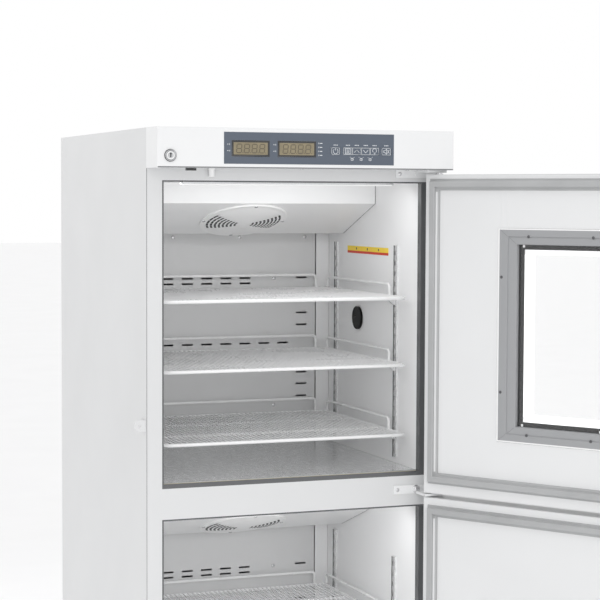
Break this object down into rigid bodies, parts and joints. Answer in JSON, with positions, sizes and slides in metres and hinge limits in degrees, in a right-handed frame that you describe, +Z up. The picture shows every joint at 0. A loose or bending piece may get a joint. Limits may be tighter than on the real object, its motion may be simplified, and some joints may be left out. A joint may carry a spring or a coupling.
{
  "type": "laboratory incubator cabinet",
  "caption": "Upright two-chamber laboratory cabinet with swinging insulated doors, sliding wire shelves, fan hoods and a control head.",
  "frame": {"origin": "on the floor, on the plane of the cabinet's front frame, midway across its width", "axes": "+Z up, +Y from the front frame to the back, +X to the right of someone facing the open chambers, which is the hinge side"},
  "size_m": [0.9947, 1.2678, 1.8],
  "materials": {
    "coated_steel": "satin",
    "white_panel": "satin",
    "insulating_foam": "matte",
    "dark_plastic": "gloss",
    "white_sheet": "satin",
    "stainless": "satin",
    "coated_wire": "gloss",
    "black_rubber": "matte",
    "grey_seal": "matte",
    "grey_plastic": "matte",
    "clear_glass": "gloss",
    "black_border": "matte",
    "overlay_grey": "satin",
    "smoked_window": "gloss",
    "signal_red": "gloss",
    "yellow_strip": "satin",
    "bright_metal": "polished",
    "zinc_steel": "satin",
    "fin_aluminium": "satin",
    "black_steel": "satin"
  },
  "bodies": {
    "cabinet": {"left_side_panel": "coated_steel", "right_side_panel": "coated_steel", "top_panel": "coated_steel", "back_panel": "zinc_steel", "front_rails": "coated_steel", "cabinet_foam": "insulating_foam", "breaker_frames": "dark_plastic", "chamber_liners": "white_sheet", "floor_sheets": "stainless", "fan_hoods": "white_sheet", "fan_guards": "white_panel", "fan_motors": "zinc_steel", "duct_panels": "white_sheet", "evaporators": "fin_aluminium", "shelf_posts": "stainless", "port_sleeve": "white_panel", "marker_strip": "yellow_strip", "head_bezel": "white_panel", "control_overlay": "overlay_grey", "display_windows": "smoked_window", "indicator_lamps": "signal_red", "lock_barrel": "bright_metal", "door_sensor": "white_panel", "hinge_brackets": "coated_steel", "padlock_tabs": "coated_steel", "panel_screws": "bright_metal", "base_tray": "zinc_steel", "levelling_feet": "black_rubber", "compressor": "black_steel", "front_grille": "coated_steel", "power_inlet": "dark_plastic"},
    "upper_door": {"upper_door_shell": "coated_steel", "upper_door_panel": "white_panel", "upper_door_seal": "grey_seal", "upper_door_handle": "grey_plastic", "upper_door_window_frame": "grey_plastic", "upper_door_window_glass": "clear_glass", "upper_door_window_spacer": "black_border", "upper_door_frame_screws": "bright_metal"},
    "lower_door": {"lower_door_shell": "coated_steel", "lower_door_panel": "white_panel", "lower_door_seal": "grey_seal", "lower_door_handle": "grey_plastic"},
    "lock_key_core": {"key_core": "bright_metal"},
    "lock_bolt_slide": {"lock_bolt": "black_steel"},
    "shelf_a": {"upper_shelf_top": "coated_wire"},
    "shelf_b": {"upper_shelf_middle": "coated_wire"},
    "shelf_c": {"upper_shelf_bottom": "coated_wire"},
    "shelf_d": {"lower_shelf_top": "coated_wire"},
    "shelf_e": {"lower_shelf_bottom": "coated_wire"},
    "port_stopper": {"port_plug": "black_rubber"},
    "upper_fan": {"upper_fan_impeller": "dark_plastic"},
    "lower_fan": {"lower_fan_impeller": "dark_plastic"},
    "rollers": {"rear_rollers": "grey_plastic"},
    "button_power": {"power_button": "overlay_grey"},
    "button_set": {"set_button": "overlay_grey"},
    "button_up": {"up_button": "overlay_grey"},
    "button_down": {"down_button": "overlay_grey"},
    "button_lamp": {"lamp_button": "overlay_grey"},
    "button_mute": {"mute_button": "overlay_grey"}
  },
  "joints": [
    {"name": "upper_door_hinge", "type": "hinge", "parent": "cabinet", "child": "upper_door", "pos_m": [0.29325, -0.0392, 1.39], "axis": [0, 0, 1], "range_deg": [-122.7, 10]},
    {"name": "lower_door_hinge", "type": "hinge", "parent": "cabinet", "child": "lower_door", "pos_m": [0.29325, -0.0392, 0.735], "axis": [0, 0, 1], "range_deg": [-122.7, 10]},
    {"name": "key_turn", "type": "hinge", "parent": "cabinet", "child": "lock_key_core", "pos_m": [-0.2832, -0.05, 1.7452], "axis": [0, 1, 0], "range_deg": [0, 90]},
    {"name": "lock_bolt_travel", "type": "slide", "parent": "cabinet", "child": "lock_bolt_slide", "axis": [0, 0, -1], "range_m": [0, 0.014]},
    {"name": "upper_shelf_top_slide", "type": "slide", "parent": "cabinet", "child": "shelf_a", "axis": [0, -1, 0], "range_m": [0, 0.09]},
    {"name": "upper_shelf_middle_slide", "type": "slide", "parent": "cabinet", "child": "shelf_b", "axis": [0, -1, 0], "range_m": [0, 0.09]},
    {"name": "upper_shelf_bottom_slide", "type": "slide", "parent": "cabinet", "child": "shelf_c", "axis": [0, -1, 0], "range_m": [0, 0.09]},
    {"name": "lower_shelf_top_slide", "type": "slide", "parent": "cabinet", "child": "shelf_d", "axis": [0, -1, 0], "range_m": [0, 0.09]},
    {"name": "lower_shelf_bottom_slide", "type": "slide", "parent": "cabinet", "child": "shelf_e", "axis": [0, -1, 0], "range_m": [0, 0.09]},
    {"name": "port_plug_pull", "type": "slide", "parent": "cabinet", "child": "port_stopper", "axis": [-1, 0, 0], "range_m": [0, 0.06]},
    {"name": "upper_fan_spin", "type": "hinge", "parent": "cabinet", "child": "upper_fan", "pos_m": [0.005, 0.34086, 1.61756], "axis": [0, -0.348, -0.9375], "continuous": true},
    {"name": "lower_fan_spin", "type": "hinge", "parent": "cabinet", "child": "lower_fan", "pos_m": [0.005, 0.34086, 0.95486], "axis": [0, -0.348, -0.9375], "continuous": true},
    {"name": "roller_turn", "type": "hinge", "parent": "cabinet", "child": "rollers", "pos_m": [0, 0.64, 0.025], "axis": [1, 0, 0], "continuous": true},
    {"name": "power_press", "type": "slide", "parent": "cabinet", "child": "button_power", "axis": [0, 1, 0], "range_m": [0, 0.0008], "stiffness_N_per_m": 800, "springref_m": -0.0003},
    {"name": "set_press", "type": "slide", "parent": "cabinet", "child": "button_set", "axis": [0, 1, 0], "range_m": [0, 0.0008], "stiffness_N_per_m": 800, "springref_m": -0.0003},
    {"name": "up_press", "type": "slide", "parent": "cabinet", "child": "button_up", "axis": [0, 1, 0], "range_m": [0, 0.0008], "stiffness_N_per_m": 800, "springref_m": -0.0003},
    {"name": "down_press", "type": "slide", "parent": "cabinet", "child": "button_down", "axis": [0, 1, 0], "range_m": [0, 0.0008], "stiffness_N_per_m": 800, "springref_m": -0.0003},
    {"name": "lamp_press", "type": "slide", "parent": "cabinet", "child": "button_lamp", "axis": [0, 1, 0], "range_m": [0, 0.0008], "stiffness_N_per_m": 800, "springref_m": -0.0003},
    {"name": "mute_press", "type": "slide", "parent": "cabinet", "child": "button_mute", "axis": [0, 1, 0], "range_m": [0, 0.0008], "stiffness_N_per_m": 800, "springref_m": -0.0003}
  ],
  "couplings": [
    {"joint": "key_turn", "follows": "lock_bolt_travel", "rad_per_m": 112.19}
  ]
}
